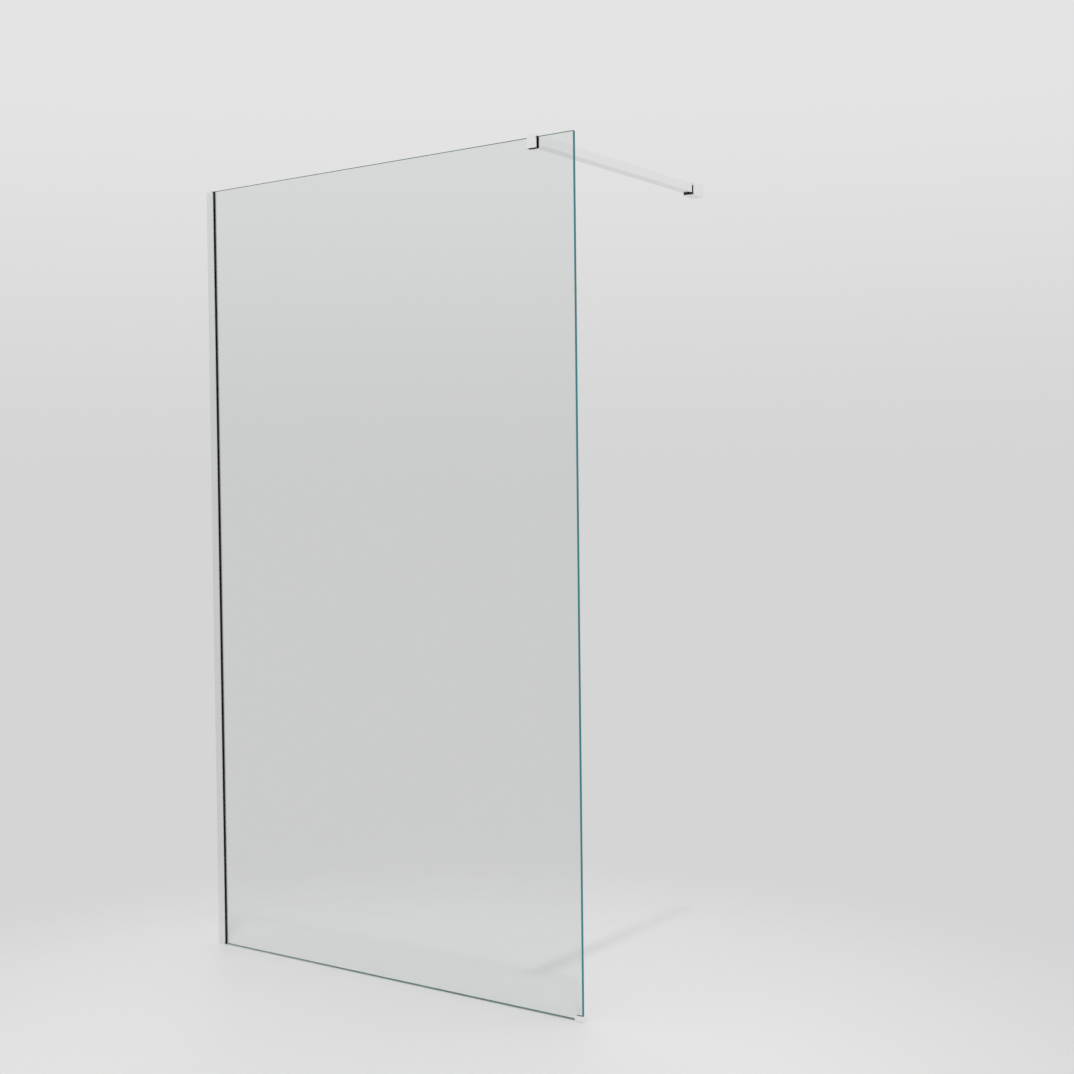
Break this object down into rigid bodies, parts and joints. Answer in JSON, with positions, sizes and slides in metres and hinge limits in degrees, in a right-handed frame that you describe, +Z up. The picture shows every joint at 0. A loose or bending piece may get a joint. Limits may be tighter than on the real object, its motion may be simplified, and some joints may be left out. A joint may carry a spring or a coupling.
{
  "type": "walk-in shower screen",
  "caption": "Frameless glass shower screen in a polished wall profile, steadied by a square support bar from a clamp on its top edge to a wall bracket, with a small corner shoe at the floor.",
  "frame": {"origin": "on the wall face of the wall profile, at floor level, on the middle plane of the glass", "axes": "+X along the glass away from the wall, +Y towards the wall that the support bar reaches, +Z up"},
  "size_m": [1.1635, 0.7685, 2.0074],
  "materials": {
    "clear_glass": "clear float glass, polished edges",
    "chrome": "bright chrome plate",
    "polished_aluminium": "bright polished and anodised",
    "mill_aluminium": "machined",
    "stainless_steel": "satin",
    "plated_plastic": "bright plated",
    "black_nylon": "moulded",
    "black_rubber": "extruded",
    "clear_vinyl": "soft clear moulding"
  },
  "bodies": {
    "wall_profile": {"wall_channel": "polished_aluminium", "profile_top_cap": "plated_plastic", "screw_covers": "plated_plastic"},
    "panel": {"glazing_channel": "polished_aluminium", "front_gasket": "black_rubber", "rear_gasket": "black_rubber", "edge_blocks": "black_nylon", "setting_block": "black_nylon", "adjusting_screws": "stainless_steel", "adjusting_washers": "stainless_steel", "clamp_nuts": "stainless_steel", "glass_panel": "clear_glass", "corner_shoe": "chrome", "foot_liner": "clear_vinyl", "foot_grub_screw": "stainless_steel", "foot_base_pad": "black_rubber"},
    "support_arm": {"clamp_body": "chrome", "clamp_liner": "black_rubber", "clamp_plate": "stainless_steel", "clamp_grub_screws": "stainless_steel", "bar_joining_screw": "stainless_steel", "bar_front_plug": "mill_aluminium", "support_bar": "chrome", "bar_end_cap": "black_nylon"},
    "wall_bracket": {"bracket_sleeve": "chrome", "bracket_saddle": "black_nylon", "bracket_base": "mill_aluminium", "sleeve_grub_screw": "stainless_steel", "bar_lock_screw": "stainless_steel"}
  },
  "joints": [
    {"name": "panel_adjust", "type": "slide", "parent": "wall_profile", "child": "panel", "axis": [1, 0, 0], "range_m": [0, 0.009]},
    {"name": "clamp_slide", "type": "slide", "parent": "panel", "child": "support_arm", "axis": [1, 0, 0], "range_m": [-0.45, 0.085]},
    {"name": "bar_slide", "type": "slide", "parent": "support_arm", "child": "wall_bracket", "axis": [0, 1, 0], "range_m": [-0.006, 0.015]}
  ]
}
